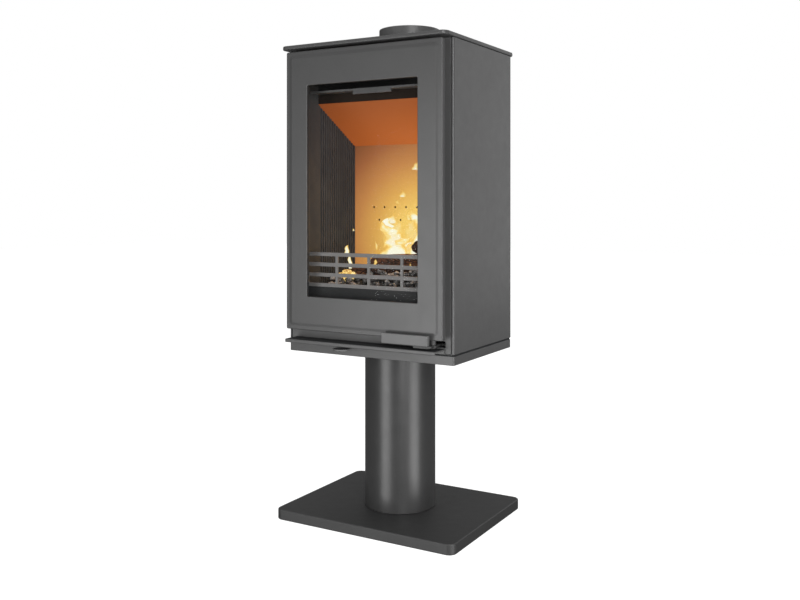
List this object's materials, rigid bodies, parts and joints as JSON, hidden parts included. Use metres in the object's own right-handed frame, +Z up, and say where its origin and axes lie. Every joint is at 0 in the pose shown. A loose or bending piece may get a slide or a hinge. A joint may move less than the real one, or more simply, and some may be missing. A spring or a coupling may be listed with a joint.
{
  "type": "wood burning stove",
  "caption": "Tall cast iron wood stove with a glazed door, log fence and top flue collar, standing on a round column over a flat base plate.",
  "frame": {"origin": "on the column's axis at floor level, in the middle of the base plate's underside", "axes": "+X to the right of a person facing the door, +Y from the door to the back, +Z up"},
  "size_m": [0.4748, 0.3819, 1.1796],
  "materials": {
    "cast_paint": "matt graphite stove paint on fine-grained castings",
    "sheet_paint": "matt dark grey stove paint on steel plate",
    "column_paint": "satin graphite paint on a rolled tube",
    "handle_paint": "satin graphite paint",
    "firebox_iron": "dull sooty black",
    "hearth_stone": "pale heat-proof lining board, matt",
    "fence_iron": "dark grey, slightly worn",
    "bright_steel": "plated steel",
    "clear_glass": "clear heat-proof ceramic glass",
    "seal_rope": "dark grey braided glass rope"
  },
  "bodies": {
    "root": {"base_plate": "sheet_paint", "column_tube": "column_paint", "column_foot_ring": "sheet_paint", "column_head_ring": "sheet_paint", "foot_bolt_1": "bright_steel", "foot_bolt_2": "bright_steel", "foot_bolt_3": "bright_steel", "head_bolt_1": "bright_steel", "head_bolt_2": "bright_steel", "head_bolt_3": "bright_steel", "plinth": "cast_paint", "air_intake_collar": "firebox_iron", "side_panel_left": "cast_paint", "side_panel_right": "cast_paint", "back_panel": "sheet_paint", "rear_outlet_cover": "cast_paint", "front_frame": "cast_paint", "top_plate": "cast_paint", "flue_collar": "cast_paint", "tie_rod_1": "bright_steel", "tie_rod_2": "bright_steel", "tie_rod_3": "bright_steel", "tie_rod_4": "bright_steel", "firebox_shell": "firebox_iron", "hearth_plate": "firebox_iron", "grate": "firebox_iron", "liner_left": "firebox_iron", "liner_right": "firebox_iron", "liner_rear": "hearth_stone", "secondary_air_duct": "sheet_paint", "baffle": "hearth_stone", "smoke_plate": "firebox_iron", "hearth_sill": "firebox_iron", "log_fence": "fence_iron", "air_wash_deflector": "fence_iron", "ash_pan": "sheet_paint", "hinge_bracket_lower": "cast_paint", "hinge_bracket_upper": "cast_paint", "hinge_pin_lower": "bright_steel", "hinge_pin_upper": "bright_steel", "latch_keeper": "bright_steel", "ash_lip": "cast_paint", "lip_screw_left": "bright_steel", "lip_screw_right": "bright_steel", "air_control_guide": "bright_steel"},
    "door": {"door_casting": "cast_paint", "door_glass": "clear_glass", "glass_gasket": "seal_rope", "glass_retainer_left": "bright_steel", "glass_retainer_right": "bright_steel", "glass_screw_1": "bright_steel", "glass_screw_2": "bright_steel", "glass_screw_3": "bright_steel", "glass_screw_4": "bright_steel", "door_rope_seal": "seal_rope", "handle_pivot_pin": "bright_steel"},
    "handle": {"handle_lever": "handle_paint", "handle_grip": "handle_paint"},
    "air_control": {"air_control_tongue": "handle_paint", "air_valve_plate": "bright_steel"}
  },
  "joints": [
    {"name": "door_hinge", "type": "hinge", "parent": "root", "child": "door", "pos_m": [-0.2025, -0.16, 0.455], "axis": [0, 0, -1], "range_deg": [0, 100]},
    {"name": "handle_pivot", "type": "hinge", "parent": "door", "child": "handle", "pos_m": [0.18, -0.169, 0.4389], "axis": [0, 0, 1], "range_deg": [0, 25]},
    {"name": "air_slide", "type": "slide", "parent": "root", "child": "air_control", "axis": [0, -1, 0], "range_m": [0, 0.045]}
  ]
}
